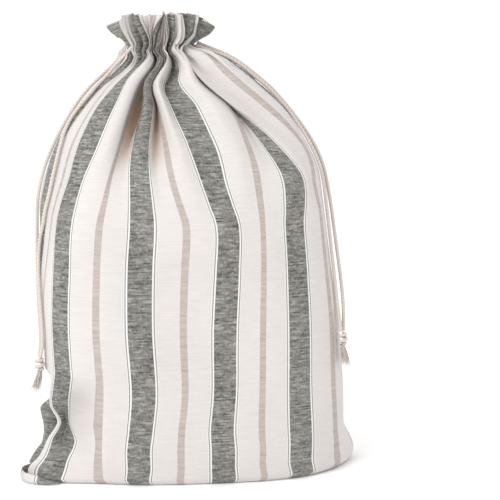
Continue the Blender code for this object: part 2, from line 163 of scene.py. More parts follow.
def laid_rope(name, line, radius, sides):
    """A round rope along a line, whose plies wind round it. UV: turns round, metres along."""
    one, other = across_frames(line)
    run = run_along(line)
    around = 2 * np.pi * np.arange(sides) / sides
    wound = around[None, :] - 2 * np.pi * run[:, None] / LAY_LENGTH
    girth = 1 - PLY_RELIEF + PLY_RELIEF * np.abs(np.cos(PLIES * wound / 2)) * PLY_SWELL
    reach = radius * girth
    rings = (line[:, None, :] + one[:, None, :] * (np.cos(around) * reach)[..., None]
             + other[:, None, :] * (np.sin(around) * reach)[..., None])
    count = len(line)
    faces = [(i * sides + a, i * sides + (a + 1) % sides,
              (i + 1) * sides + (a + 1) % sides, (i + 1) * sides + a)
             for i in range(count - 1) for a in range(sides)]
    mesh = bpy.data.meshes.new(name)
    ends = [tuple(reversed(range(sides))), tuple(range((count - 1) * sides, count * sides))]
    mesh.from_pydata(rings.reshape(-1, 3).tolist(), [], faces + ends)
    layer = mesh.uv_layers.new(name="UVMap")
    for face in mesh.polygons:
        for loop, vert in zip(face.loop_indices, face.vertices):
            ring, a = divmod(vert, sides)
            if a == 0 and face.index < len(faces) and face.index % sides == sides - 1:
                a = sides
            layer.data[loop].uv = (a / sides - run[ring] / LAY_LENGTH, run[ring])
    return placed(name, mesh)


class Signal:
    """A value in a shader: arithmetic on it adds Math nodes."""

    def __init__(self, tree, socket):
        self.tree, self.socket = tree, socket

    def _math(self, operation, first, second=None):
        """Adds a Math node."""
        made = self.tree.nodes.new("ShaderNodeMath")
        made.operation = operation
        for place, value in zip(made.inputs, (first, second)):
            feed(self.tree, place, value)
        return Signal(self.tree, made.outputs[0])

    def __add__(self, other):
        return self._math("ADD", self, other)

    def __radd__(self, other):
        return self._math("ADD", other, self)

    def __sub__(self, other):
        return self._math("SUBTRACT", self, other)

    def __rsub__(self, other):
        return self._math("SUBTRACT", other, self)

    def __mul__(self, other):
        return self._math("MULTIPLY", self, other)

    def __rmul__(self, other):
        return self._math("MULTIPLY", other, self)

    def __truediv__(self, other):
        return self._math("DIVIDE", self, other)

    def __rtruediv__(self, other):
        return self._math("DIVIDE", other, self)

    def __mod__(self, other):
        return self._math("FLOORED_MODULO", self, other)

    def __rmod__(self, other):
        return self._math("FLOORED_MODULO", other, self)

    def __gt__(self, other):
        return self._math("GREATER_THAN", self, other)

    def __lt__(self, other):
        return self._math("LESS_THAN", self, other)

    def __abs__(self):
        return self._math("ABSOLUTE", self)

    def sine(self):
        return self._math("SINE", self)

    def clipped(self):
        """Held between nothing and one."""
        return self._math("MAXIMUM", self._math("MINIMUM", self, 1.0), 0.0)


def feed(tree, place, value):
    """Links a value of the shader to a socket, or sets the socket to a plain value."""
    if isinstance(value, Signal):
        tree.links.new(value.socket, place)
    elif value is not None:
        place.default_value = value


class Finish:
    """A material under construction, with one method that adds any kind of node."""

    def __init__(self, name):
        self.material = bpy.data.materials.new(name)
        self.material.use_nodes = True
        self.tree = self.material.node_tree
        self.shader = self.tree.nodes["Principled BSDF"]

    def node(self, kind, settings=None, output=0, **values):
        """Adds a node. A socket is given by its name, or as i6 by its number."""
        made = self.tree.nodes.new("ShaderNode" + kind)
        for setting, value in (settings or {}).items():
            setattr(made, setting, value)
        for name, value in values.items():
            numbered = name[0] == "i" and name[1:].isdigit()
            feed(self.tree, made.inputs[int(name[1:]) if numbered else name], value)
        return Signal(self.tree, made.outputs[output])

    def blend(self, share, low, high):
        """Goes from one colour to another."""
        low, high = (c if isinstance(c, Signal) else (*c, 1) for c in (low, high))
        return self.node("Mix", {"data_type": "RGBA"}, output=2, i0=share, i6=low, i7=high)

    def shaded(self, share, colour, shade):
        """Paints shade into a colour: multiplies it by a shade colour, by a share of the way."""
        darker = self.node("Mix", {"data_type": "RGBA", "blend_type": "MULTIPLY"}, output=2,
                           i0=1.0, i6=colour, i7=(*shade, 1))
        return self.blend(share, colour, darker)

    def surface(self, **values):
        """Sets or links the sockets of the material's own shader."""
        for name, value in values.items():
            feed(self.tree, self.shader.inputs[name.replace("_", " ")], value)


cotton = Finish("cotton cord")
turns_and_run = cotton.node("UVMap", {"uv_map": "UVMap"})
turns = cotton.node("SeparateXYZ", Vector=turns_and_run, output=0)
run = cotton.node("SeparateXYZ", Vector=turns_and_run, output=1)
# The grooves between the plies get a painted shade, mixed with the fibres' own uneven tone.
groove_shade_mask = 1 - abs((turns * PLIES * math.pi).sine())
fibre_place = cotton.node("CombineXYZ", X=turns * 9.0, Y=run * 900.0)
fibres = cotton.node("TexNoise", {"noise_dimensions": "2D"}, Vector=fibre_place, Scale=1.0, Detail=3.0)
groove_shade_and_fibre_tone = (groove_shade_mask * 0.55 + fibres * 0.35).clipped()
cotton.surface(
    Base_Color=cotton.blend(groove_shade_and_fibre_tone, PLY_TOP, PLY_GROOVE_SHADE),
    Roughness=0.88,
    Normal=cotton.node("Bump", Height=fibres, Strength=0.35, Distance=0.0003))

# A side's knot is an overhand knot of its two strands, drawn tight, and below it the strands'
# ends have frayed into a small brush of fibres.
Knot = namedtuple("Knot", "centre lean")
KNOTS = {
    "left": Knot((-0.1291, -0.0334, 0.0975), (-0.0040, -0.0015, 0.0000)),
    "right": Knot((0.1281, -0.0172, 0.1160), (0.0030, -0.0015, 0.0000)),
}
KNOT_RADIUS = 0.0042
KNOT_HALF_HEIGHT = 0.0056
KNOT_TURNS = 2.5
KNOT_TAPER = 0.72              # how much the knot narrows towards its ends
KNOT_WOBBLE = 0.10             # how unevenly its turns lie over each other
KNOT_STRAND = 0.46 * CORD      # radius of the strand, drawn tight
KNOT_SIDES = 14
TAIL_LENGTH = 0.0185
TAIL_SUNK = 0.0006             # how far up in the knot the brush begins
TAIL_ROOT = 0.0019             # radius of the brush where it leaves the knot
TAIL_SPREAD = 0.0046           # and at its end
TAIL_FIBRES = 54
FIBRE_RINGS = 6
FIBRE_SHORTER = 0.20           # share of the brush's length by which a fibre may fall short
FIBRE_TAPER = 0.72             # share of its radius that a fibre loses to its end
FIBRE_WAVE = 0.0012            # how far a fibre bends to its side
FIBRE_RADIUS = 0.00034         # of the thinnest
FIBRE_THICKER = 0.00016        # what the thickest has more
SOWING_TURN = 2.399963         # between two fibres, so that they fill the round evenly


def tied_knot(name, centre):
    """The knot's wound strand: turns that ride over each other, thick in the middle."""
    steps = np.linspace(-1, 1, 15 * round(2 * KNOT_TURNS) + 1)
    angle = np.pi * KNOT_TURNS * steps
    waist = np.sqrt(1 - KNOT_TAPER * steps ** 2)
    wobble = 1 + KNOT_WOBBLE * np.cos(3 * angle + 0.8)
    reach = (KNOT_RADIUS - 0.36 * CORD) * waist * wobble
    rise = (KNOT_HALF_HEIGHT - 0.42 * CORD) * np.sin(steps * np.pi / 2)
    line = np.column_stack((reach * np.cos(angle), reach * np.sin(angle), rise))
    line = even_line(line[::3] + np.asarray(centre), CORD_STEP)
    return laid_rope(name, line, KNOT_STRAND, KNOT_SIDES)


def frayed_ends(name, knot):
    """A brush of loose fibres, each a thin tapering strand that bends its own way."""
    verts, faces = [], []
    sown = np.random.default_rng(5)
    top = np.asarray(knot.centre) - (0, 0, KNOT_HALF_HEIGHT - TAIL_SUNK)
    for fibre in range(TAIL_FIBRES):
        turn = SOWING_TURN * fibre
        out = math.sqrt((fibre + 0.5) / TAIL_FIBRES)
        root = np.array((math.cos(turn), math.sin(turn), 0)) * out * TAIL_ROOT
        wave = sown.uniform(-1, 1, 3) * FIBRE_WAVE
        length = TAIL_LENGTH * (1 - FIBRE_SHORTER + FIBRE_SHORTER * sown.random())
        radius = FIBRE_RADIUS + FIBRE_THICKER * sown.random()
        base = len(verts)
        for ring in range(FIBRE_RINGS):
            share = ring / (FIBRE_RINGS - 1)
            spread = root * (1 + (TAIL_SPREAD / TAIL_ROOT - 1) * share ** 1.4)
            centre = top + spread + np.asarray(knot.lean) * share ** 1.2 + wave * math.sin(3.0 * share)
            centre[2] -= length * share
            for corner in range(4):
                angle = math.pi * corner / 2 + turn
                reach = radius * (1 - FIBRE_TAPER * share)
                verts.append(centre + (math.cos(angle) * reach, math.sin(angle) * reach, 0))
        for ring in range(FIBRE_RINGS - 1):
            for corner in range(4):
                a, b = base + 4 * ring + corner, base + 4 * ring + (corner + 1) % 4
                faces.append((a, a + 4, b + 4, b))
        faces.append(tuple(range(base, base + 4)))
        faces.append(tuple(range(len(verts) - 1, len(verts) - 5, -1)))
    mesh = bpy.data.meshes.new(name)
    mesh.from_pydata([tuple(v) for v in verts], [], faces)
    return placed(name, mesh)


fibre = Finish("frayed cotton")
fibre_noise = fibre.node("TexNoise", Vector=fibre.node("TexCoord", output=3), Scale=420.0, Detail=2.0)
fibre.surface(Base_Color=fibre.blend(fibre_noise, (0.66, 0.61, 0.57), (0.47, 0.41, 0.365)), Roughness=0.9)

for side, knot in KNOTS.items():
    knot = Knot(np.asarray(knot.centre) + BAG_SEAT, knot.lean)
    tied = tied_knot("tied_knot_" + side, knot.centre)
    tied.data.materials.append(cotton.material)
    brush = frayed_ends("frayed_ends_" + side, knot)
    brush.data.materials.append(fibre.material)
    for piece, node in ((tied, "knot_" + side), (brush, "tails_" + side)):
        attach(piece, "root")
        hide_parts(node)
    for strand in ("front", "back"):
        node = "cord_" + side + "_" + strand
        line = even_line(np.asarray(ROUTES[node]) + BAG_SEAT, CORD_STEP)
        rope = laid_rope("laid_" + node, line, CORD / 2, CORD_SIDES)
        rope.data.materials.append(cotton.material)
        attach(rope, "root")
        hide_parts(node)


# ================================================================ The bag
# One tube of striped linen, sewn along its bottom, stands on the bread it holds. Its mouth is
# drawn in under a ruffle, and the folds run down from the neck and die out over the shoulders.
STRIPE_REPEATS = 9             # grey stripes around the bag, 66.7 mm apart on the flat cloth
WARPS = 2 * STRIPE_REPEATS     # a warp is half a repeat: even ones carry grey, odd ones brown
WARP_WIDTH = 0.0333            # of a warp on the flat cloth
CLOTH = 0.0008                 # thickness of the linen
FRONT_COLUMNS = 20             # of the mesh to a warp, over the gathered front
BACK_COLUMNS = 12
BACK_WARPS = (8, WARPS - 2)    # the warps between which the cloth lies at the back
ROW_STEP = 0.0034              # of height between two rows of the mesh, on the body
NECK_ROW_STEP = 0.0012         # and on the neck and ruffle
NECK_ROWS_FROM = 0.33          # the height from which the rows are that close
SEAT_ROWS = 9                  # rows from the edge of the base to its seam
SEAT_CLOTH = 0.052             # of cloth from that edge to the seam
SEAT_REACH = 0.99              # share of that way at which the last row lies
SEAM_INSET = 0.004             # share of the base's width left free at each end of the seam

# The bag's outline, section by section from the floor to the rim. centre_x places a section,
# half_width and half_depth size it, square is its superellipse power and turn its twist in
# degrees. grey_0 to grey_4 say how far round from its middle front, in warps, the left side's and
# the front's grey stripes lie (warps -2, 0, 2, 4 and 6), because the cloth isn't gathered evenly.
Section = namedtuple(
    "Section", "height centre_x half_width half_depth square turn grey_0 grey_1 grey_2 grey_3 grey_4")
SECTIONS = [
    Section(0.000, 0.004, 0.1170, 0.0570, 2.7, 6, -4.8, -3.3, -1.6, 0.5, 2.5),
    Section(0.004, 0.004, 0.1235, 0.0600, 2.7, 6, -4.8, -3.3, -1.6, 0.5, 2.5),
    Section(0.015, 0.003, 0.1270, 0.0610, 2.7, 6, -4.8, -3.3, -1.5, 0.5, 2.4),
    Section(0.030, 0.003, 0.1280, 0.0605, 2.7, 6, -4.8, -3.3, -1.5, 0.5, 2.4),
    Section(0.048, 0.002, 0.1290, 0.0600, 2.7, 6, -4.8, -3.3, -1.4, 0.5, 2.4),
    Section(0.080, 0.001, 0.1290, 0.0590, 2.7, 6, -4.8, -3.3, -1.3, 0.6, 2.4),
    Section(0.130, -0.002, 0.1275, 0.0595, 2.7, 6, -4.8, -3.3, -1.3, 0.7, 2.5),
    Section(0.180, -0.006, 0.1245, 0.0595, 2.6, 6, -4.8, -3.2, -1.2, 0.9, 2.65),
    Section(0.215, -0.008, 0.1220, 0.0585, 2.6, 6, -4.8, -3.1, -1.1, 1.0, 2.7),
    Section(0.235, -0.009, 0.1205, 0.0560, 2.5, 6, -4.8, -3.0, -1.1, 0.9, 2.8),
    Section(0.262, -0.008, 0.1150, 0.0495, 2.4, 5, -4.8, -2.9, -1.2, 0.7, 2.8),
    Section(0.290, -0.009, 0.1020, 0.0435, 2.3, 4, -4.7, -2.8, -1.2, 0.5, 2.5),
    Section(0.314, -0.010, 0.0860, 0.0385, 2.2, 3, -4.6, -2.7, -1.2, 0.3, 2.0),
    Section(0.332, -0.012, 0.0685, 0.0335, 2.1, 2, -4.4, -2.5, -1.2, 0.1, 1.7),
    Section(0.345, -0.012, 0.0530, 0.0290, 2.1, 1, -4.2, -2.3, -0.9, 0.3, 1.6),
    Section(0.354, -0.018, 0.0430, 0.0255, 2.2, 0, -3.8, -1.9, -0.5, 0.6, 2.0),
    Section(0.3595, -0.025, 0.0340, 0.0235, 2.2, 0, -3.8, -1.8, -0.4, 0.8, 2.3),
    Section(0.365, -0.028, 0.0285, 0.0220, 2.3, 0, -3.7, -1.7, -0.3, 1.1, 2.5),
    Section(0.372, -0.027, 0.0335, 0.0250, 2.0, 0, -3.8, -1.8, -0.5, 1.1, 2.5),
    Section(0.380, -0.026, 0.0395, 0.0295, 1.7, 0, -3.7, -1.7, -0.6, 0.9, 2.1),
    Section(0.389, -0.026, 0.0440, 0.0340, 1.5, 0, -3.4, -1.4, -0.5, 0.8, 1.7),
]
NECK_HEIGHT = 0.365
SHOULDER_HEIGHT = 0.315
RIM_HEIGHT = SECTIONS[-1].height

# Guide lines of the gathered front, from left to right. Each follows one warp from the rim down
# and says how far across it lies, and how far proud of the outline, in millimetres, at
# GUIDE_HEIGHTS. Lines that stand over each other make a fold that hides the cloth behind its edge.
MM = 0.001
GUIDE_HEIGHTS = (0.389, 0.367, 0.356, 0.342, 0.316, 0.285, 0.250, 0.215)
GUIDES_END = 0.140             # height at which the cloth is back on its outline
GUIDED = (-3.2, 9.2)           # the warps between which the guides hold
Guide = namedtuple("Guide", "warp rim hem neck under upper middle lower low", defaults=[None] * 6)
GUIDES = [
    # the left flap of the ruffle and the cloth below it
    Guide(-2.6, (-70, -6), (-54, -2)),
    Guide(-2.3, (-69, -3), (-54, -1), (-54, -2), (-68, -2), (-94, -1), (-113, 0), (-123, 0), (-127, 0)),
    Guide(-2.1, (-70, 1), (-54, 0), (-53, -3), (-66, -2), (-92, -1), (-112, 0), (-122, 0), (-126, 0)),
    Guide(-1.7, (-58, 0), (-50, 0), (-49, -5), (-62, -3), (-86, 0), (-107, 0), (-117, 0), (-121, 0)),
    Guide(-0.9, (-54, 2), (-48, 2), (-46, 1), (-57, -1), (-80, -1), (-96, 0), (-106, 0), (-115, 0)),
    # the first grey stripe, and the ridge at its right
    Guide(-0.3, (-51, -1), (-46, -3), (-43, 1), (-52, 0), (-76, 0), (-92, 0), (-102, 0), (-111, 0)),
    Guide(0.3, (-41, 1), (-34, -2), (-35, 2), (-45, 3), (-60, 3), (-74, 2), (-89, 1)),
    Guide(0.6, (-37, 2), (-33, -6), (-33, 5), (-40, 7), (-54, 6), (-66, 4), (-80, 2)),
    Guide(0.9, (-32, 3), (-33, -3), (-31, 2), (-35, 2), (-49, 1), (-59, -2), (-69, 0)),
    # the left valley, behind that ridge's edge
    Guide(1.1, (-29, 1), (-32, -2), (-31, -7), (-35, -9), (-50, -13), (-58, -9), (-65, -2)),
    Guide(1.45, (-24, 3), (-32, -6), (-30, -11), (-34, -14), (-45, -21), (-53, -13), (-56, -3)),
    # the second grey stripe stands between the two valleys
    Guide(1.75, (-21, -1), (-31, 0), (-29, -4), (-33, -6), (-41, -8), (-47, -5), (-48, -1)),
    Guide(2.0, (-20, -6), (-29, 3), (-27, 3), (-31, 4), (-36, 3), (-41, 2), (-41, 0)),
    Guide(2.25, (-20, -8), (-26, 2), (-25, 3), (-28, 1), (-31, -3), (-34, -1), (-33, 0)),
    # the right valley
    Guide(2.6, (-20, -8), (-25, -4), (-23, -5), (-28, -10), (-29, -20), (-30, -13), (-24, -2)),
    Guide(3.0, (-20, -8), (-22, 2), (-20, -1), (-27, -3), (-27, -7), (-20, -6), (-13, 0)),
    # the cream ridge between that valley and the third grey stripe
    Guide(3.4, (-20, -5), (-20, 2), (-19, 6), (-21, 7), (-21, 6), (-10, 4), (1, 2)),
    Guide(3.75, (-19, 0), (-19, -3), (-17, -5), (-18, -9), (-15, -3), (-1, 1), (12, 0)),
    Guide(4.3, (-12, 0), (-15, 0), (-14, 0), (-9, -1), (5, 0), (20, 0), (30, 0)),
    Guide(4.7, (-8, 3), (-11, 4), (-9, 6), (-1, 7), (17, 6), (35, 4), (44, 2)),
    # the crease: the cloth from the right lies over it and hides most of the fourth stripe
    Guide(5.0, (-7, 0), (-8, -2), (-6, -3), (5, -3), (32, -2), (47, 0), (56, 0)),
    Guide(5.6, (-8, -6), (-7, -6), (-5, -7), (6, -8), (34, -8), (58, -4), (73, 0)),
    Guide(6.25, (6, 1), (-5, 0), (-5, -4), (5, -5), (34, -4), (68, 1), (92, 0)),
    Guide(6.5, (5, -4), (-4, 1), (-7, 3), (3, 4), (31, 5), (73, 3), (97, 1)),
    Guide(6.75, (3, -7), (-3, -3), (2, -1), (15, -4), (50, -5), (83, 1), (99, 1)),
    Guide(7.0, (3, -9), (-2, -5), (12, 3), (30, 2), (60, 2), (92, 0), (103, 0)),
    # the right flap of the ruffle and the cloth below it
    Guide(7.6, (2, -5), (-1, -2), (17, 1), (41, 1), (73, 0)),
    Guide(8.3, (18, 1), (0, 1), (21, 0), (46, 0)),
    Guide(8.6, (18, -6), (0, -2)),
]

# Folds of the gathered back. Each passes warps `rim`, `neck` and `foot`, ends at height `low`,
# is `narrow` warps wide at the neck and `wide` ones below, and rises (or, below zero, cuts in) by
# rim_rise, neck_rise and shoulder_rise on its way down. draw is how much it draws warps together.
Fold = namedtuple(
    "Fold", "rim neck foot low narrow wide rim_rise neck_rise shoulder_rise draw")
FOLDS = [
    Fold(9.1, 9.0, 9.2, 0.230, 0.9, 1.1, -0.009, -0.007, -0.012, 0.4),
    Fold(10.2, 10.1, 10.2, 0.310, 0.8, 0.9, -0.003, -0.006, -0.003, 0.2),
    Fold(11.4, 11.3, 11.1, 0.205, 0.9, 1.1, -0.010, -0.008, -0.015, 0.5),
    Fold(12.6, 12.5, 12.5, 0.320, 0.8, 0.9, -0.003, -0.006, -0.002, 0.2),
    Fold(13.7, 13.6, 13.9, 0.220, 0.9, 1.1, -0.009, -0.007, -0.014, 0.5),
    Fold(15.0, 14.9, 14.8, 0.290, 0.8, 1.0, -0.005, -0.006, -0.004, 0.2),
]
FULL_DRAW_RISE = 0.010         # a fold this deep draws its warps together by all of its draw

# Above the shoulder the whole cloth is crimped by the cords, in fine upright ripples.
CRIMP = 0.0020
CRIMP_SHADE = 4.5              # how much more its hollows count towards the shade painted into the cloth's colour
CRIMPS = 3 * WARPS
CRIMP_LOW, CRIMP_FULL, CRIMP_LESS = 0.340, 0.358, 0.372
RIM_CRIMP = 0.7                # share of the crimp that is left at the rim
CRIMP_STRAY, STRAYS = 2.2, 7   # how far the ripples stray sideways, and how often round the bag
# The cords pinch the casing at this height, and its hollows get the darkest painted shade of all.
CASING_HEIGHT, CASING_TALL = 0.357, 0.052
PINCH_DEPTH = 0.010            # a hollow this deep takes the whole of the pinch's painted shade
FOLD_DEPTH = 0.020             # and one this deep the whole of a fold's painted shade

# Where the loaves inside press outwards, and where the cloth has sunk in.
Lump = namedtuple("Lump", "warp height width tall rise")
LUMPS = [
    Lump(2.7, 0.150, 2.6, 0.160, -0.003),
    Lump(5.6, 0.100, 2.4, 0.150, 0.002),
    Lump(0.6, 0.215, 2.0, 0.070, 0.003),
    Lump(3.4, 0.200, 2.2, 0.070, 0.003),
    Lump(6.0, 0.250, 1.8, 0.060, 0.003),
    Lump(-3.1, 0.266, 1.1, 0.056, 0.007),
    Lump(8.8, 0.324, 1.6, 0.036, 0.0015),
    Lump(12.0, 0.140, 2.6, 0.170, -0.004),
    Lump(10.2, 0.210, 2.2, 0.110, 0.003),
    Lump(14.1, 0.200, 2.2, 0.110, 0.003),
]

# The left corner of the base is crumpled: the cream cloth is tucked in behind the first grey
# stripe, the next stripe shows past it, and the tip is turned up in a small roll along the floor.
# Each line follows one warp and says where it lies, as (x, y) in millimetres, at CORNER_HEIGHTS.
CORNER_HEIGHTS = (0.003, 0.010, 0.020, 0.036, 0.050, 0.064)
CORNER_END = 0.092             # height at which the cloth is back on its outline
CORNER_WARPS = (-3.3, 1.1)     # the warps between which the lines hold
CORNER_SHADE = 0.9             # how much its hollows count towards the shade painted into the cloth's colour
CornerLine = namedtuple("CornerLine", "warp floor roll low middle high top")
CORNER_LINES = [
    CornerLine(-2.7, (-136, 14), (-134, 17), (-129, 20), (-128, 22), (-130, 21), (-121, 20)),
    CornerLine(-2.3, (-144, 0), (-141, 2), (-134, 4), (-133, 4), (-135, 2), (-120, 6)),
    CornerLine(-2.0, (-144, -10), (-141, -8), (-133, -6), (-129, -8), (-130, -9), (-118, -5)),
    CornerLine(-1.7, (-137, -16), (-134, -14), (-123, -12), (-113, -12), (-109, -13), (-111, -10)),
    CornerLine(-1.2, (-134, -18), (-130, -18), (-117, -15), (-107, -15), (-103, -16), (-108, -16)),
    CornerLine(-0.9, (-139, -27), (-130, -24), (-119, -23), (-110, -25), (-104, -25), (-110, -23)),
    CornerLine(-0.7, (-141, -38), (-134, -35), (-124, -37), (-116, -38), (-107, -35), (-113, -32)),
    CornerLine(-0.5, (-139, -45), (-139, -44), (-130, -45), (-122, -46), (-114, -42), (-121, -38)),
    CornerLine(-0.3, (-131, -50), (-131, -48), (-124, -48), (-118, -48), (-111, -43), (-119, -38)),
    CornerLine(0.0, (-121, -54), (-119, -51), (-115, -49), (-108, -42), (-107, -38), (-112, -41)),
    CornerLine(0.3, (-109, -57), (-107, -54), (-104, -53), (-98, -51), (-104, -43), (-104, -43)),
]

# The stuffed right corner of the bottom seam sticks out sideways at the floor.
Ear = namedtuple("Ear", "warp width low high reach_x reach_y")
EARS = [Ear(7.9, 2.6, 0.008, 0.040, 0.012, 0.004)]
# The rim hangs down where a pleat has fallen open.
Droop = namedtuple("Droop", "warp width drop")
DROOPS = [Droop(-2.7, 3.0, 0.0175), Droop(8.7, 3.0, 0.0135), Droop(2.4, 1.6, 0.004)]


def smooth_bump(distance, width):
    """One at the middle, nothing from half a width away, with soft shoulders."""
    share = np.minimum(1.0, np.abs(distance) / (width / 2))
    return 0.5 + 0.5 * np.cos(np.pi * share)


def smooth_between(value, low, high, at_low, at_high):
    """Goes softly from at_low to at_high as the value goes from low to high."""
    share = np.clip((value - low) / (high - low), 0.0, 1.0)
    return at_low + (at_high - at_low) * share * share * (3 - 2 * share)


def warp_distance(warp, other):
    """Signed distance between two warps, the short way round the bag."""
    return (warp - other + WARPS / 2) % WARPS - WARPS / 2


def counted_from(warp, first):
    """The same warp, counted so that none comes before the first."""
    return (warp - first) % WARPS + first


def way_round(greys, warp):
    """How far round from each section's middle front its warps lie, as shares of the outline."""
    warps = np.array((0, 2, 4, 6, WARPS - 2, WARPS), float)
    places = np.column_stack((greys[:, 1:], greys[:, :2] + WARPS))
    slopes = np.diff(places, axis=1) / np.diff(warps)
    before = np.roll(slopes, 1, axis=1)
    leans = 2 * before * slopes / (before + slopes)
    leans = np.column_stack((leans, leans[:, 0]))
    turns, inside = np.divmod(warp, WARPS)
    k = np.clip(np.searchsorted(warps, inside, side="right") - 1, 0, len(warps) - 2)
    row = np.arange(len(greys))[:, None]
    gap = warps[k + 1] - warps[k]
    place = eased(places[row, k], places[row, k + 1], leans[row, k] * gap, leans[row, k + 1] * gap,
                  (inside - warps[k]) / gap)
    return place / WARPS + turns


def on_outline(stations, shares):
    """Points of the bag's outline: one row per station, at shares of the way round it."""
    fields = smooth_curve(SECTIONS, stations)
    angle = np.linspace(0, 2 * np.pi, 721)
    points = np.empty((*shares.shape, 3))
    for row, (height, centre_x, half_width, half_depth, square, turn) in enumerate(fields[:, :6]):
        power, spin = 2 / square, math.radians(turn)
        x = half_width * np.sign(np.sin(angle)) * np.abs(np.sin(angle)) ** power
        y = -half_depth * np.sign(np.cos(angle)) * np.abs(np.cos(angle)) ** power
        x, y = x * math.cos(spin) - y * math.sin(spin), x * math.sin(spin) + y * math.cos(spin)
        run = np.concatenate(([0], np.cumsum(np.hypot(np.diff(x), np.diff(y)))))
        place = shares[row] % 1.0 * run[-1]
        points[row] = np.column_stack((
            centre_x + np.interp(place, run, x), np.interp(place, run, y),
            np.full(len(place), height)))
    return points


def steady_curve(knots, values, at):
    """A curve through each row of values that never swings past them, at the places `at`."""
    gaps = np.diff(knots)
    slopes = np.diff(values, axis=1) / gaps
    before, after = slopes[:, :-1], slopes[:, 1:]
    same_way = before * after > 0
    leans = np.concatenate((slopes[:, :1], np.zeros_like(before), slopes[:, -1:]), axis=1)
    leans[:, 1:-1] = 2 * before * after * same_way / np.where(same_way, before + after, 1)
    k = np.clip(np.searchsorted(knots, at, side="right") - 1, 0, len(gaps) - 1)
    return eased(values[:, k], values[:, k + 1], leans[:, k] * gaps[k], leans[:, k + 1] * gaps[k],
                 (at - knots[k]) / gaps[k])


def guided(stations, heights, warps):
    """What the guides add to each warp's share of the way round, and how proud it stands."""
    levels = np.array((GUIDES_END, *GUIDE_HEIGHTS[::-1]))
    places = np.interp(levels, heights, stations)
    greys = smooth_curve(SECTIONS, places)[:, 6:]
    front = np.linspace(-0.25, 0.25, 501)
    fronts = on_outline(places, np.tile(front, (len(places), 1)))[..., 0]
    fronts = np.maximum.accumulate(fronts, axis=1)
    moves, prouds = np.zeros((2, len(GUIDES), len(levels)))
    for row, guide in enumerate(GUIDES):
        usual = way_round(greys, np.full((len(levels), 1), guide.warp))[:, 0]
        for level, point in enumerate(guide[:0:-1], start=1):
            if point:
                across, prouds[row, level] = point[0] * MM, point[1] * MM
                moves[row, level] = np.interp(across, fronts[level], front) - usual[level]
    rows = np.clip(heights, GUIDES_END, GUIDE_HEIGHTS[0])
    moves = steady_curve(levels, moves, rows).T
    prouds = steady_curve(levels, prouds, rows).T
    knots = np.array((GUIDED[0], *(guide.warp for guide in GUIDES), GUIDED[1]))
    greys = smooth_curve(SECTIONS, stations)[:, 6:]
    shares = way_round(greys, np.tile(knots, (len(stations), 1)))
    shares[:, 1:-1] += moves
    prouds = np.pad(prouds, ((0, 0), (1, 1)))
    near = counted_from(warps, GUIDED[0])
    held = near < GUIDED[1]
    added, proud = np.zeros((2, len(stations), len(warps)))
    usual = way_round(greys, np.tile(near[held], (len(stations), 1)))
    added[:, held] = steady_curve(knots, shares, near[held]) - usual
    proud[:, held] = steady_curve(knots, prouds, near[held])
    return added, proud


def folded(warp, height):
    """How far folds and lumps lift the cloth off its outline, and move it along that."""
    rise, shift = np.zeros_like(warp), np.zeros_like(warp)
    for fold in FOLDS:
        along = np.maximum(0.0, (height - fold.low) / (NECK_HEIGHT - fold.low))
        above = height > NECK_HEIGHT
        to_rim = (height, NECK_HEIGHT, RIM_HEIGHT)
        middle = np.where(above, smooth_between(*to_rim, fold.neck, fold.rim),
                          fold.foot + (fold.neck - fold.foot) * along)
        width = np.where(above, fold.narrow, fold.wide + (fold.narrow - fold.wide) * along)
        knee = max(SHOULDER_HEIGHT, (fold.low + NECK_HEIGHT) / 2)
        depth = np.where(height > knee,
                         smooth_between(height, knee, NECK_HEIGHT, fold.shoulder_rise, fold.neck_rise),
                         smooth_between(height, fold.low, knee, 0.0, fold.shoulder_rise))
        depth = np.where(above, smooth_between(*to_rim, fold.neck_rise, fold.rim_rise), depth)
        distance = warp_distance(warp, middle)
        rise += depth * smooth_bump(distance, width)
        strength = np.minimum(1.0, np.abs(depth) / FULL_DRAW_RISE)
        shift -= fold.draw * strength * distance * smooth_bump(distance, 2 * width)
    crimped = smooth_between(height, CRIMP_LOW, CRIMP_FULL, 0, 1)
    crimped = crimped * smooth_between(height, CRIMP_LESS, RIM_HEIGHT, 1.0, RIM_CRIMP)
    turn = 2 * np.pi * warp / WARPS
    crimp = CRIMP * crimped * np.sin(CRIMPS * turn + CRIMP_STRAY * np.sin(STRAYS * turn))
    rise += crimp
    for lump in LUMPS:
        rise += (lump.rise * smooth_bump(warp_distance(warp, lump.warp), lump.width)
                 * smooth_bump(height - lump.height, lump.tall))
    return rise, shift, crimp


def crumpled(points, normal, warps):
    """Lays the cloth of the left corner along its lines, and says how proud that leaves it."""
    heights = points[:, 0, 2]
    levels = np.array((*CORNER_HEIGHTS, CORNER_END))
    near = counted_from(warps, CORNER_WARPS[0])
    order = np.argsort(near)
    held = order[near[order] < CORNER_WARPS[1]]
    knots = np.array((CORNER_WARPS[0], *(line.warp for line in CORNER_LINES), CORNER_WARPS[1]))
    laid = points.copy()
    own_curve = smooth_between(heights, CORNER_HEIGHTS[-1], CORNER_END, 0, 1)[:, None]
    for axis in (0, 1):
        usual = np.array([np.interp(knots, near[held], row) for row in points[:, held, axis]])
        own = points[:, held, axis] - steady_curve(knots, usual, near[held])
        moves = np.zeros((len(CORNER_LINES), len(levels)))
        for row, line in enumerate(CORNER_LINES):
            there = np.array([place[axis] for place in line[1:]]) * MM
            moves[row, :-1] = there - np.interp(CORNER_HEIGHTS, heights, usual[:, row + 1])
        usual[:, 1:-1] += steady_curve(levels, moves, np.clip(heights, levels[0], CORNER_END)).T
        laid[:, held, axis] = steady_curve(knots, usual, near[held]) + own * own_curve
    return laid, np.sum((laid - points) * normal, axis=2)


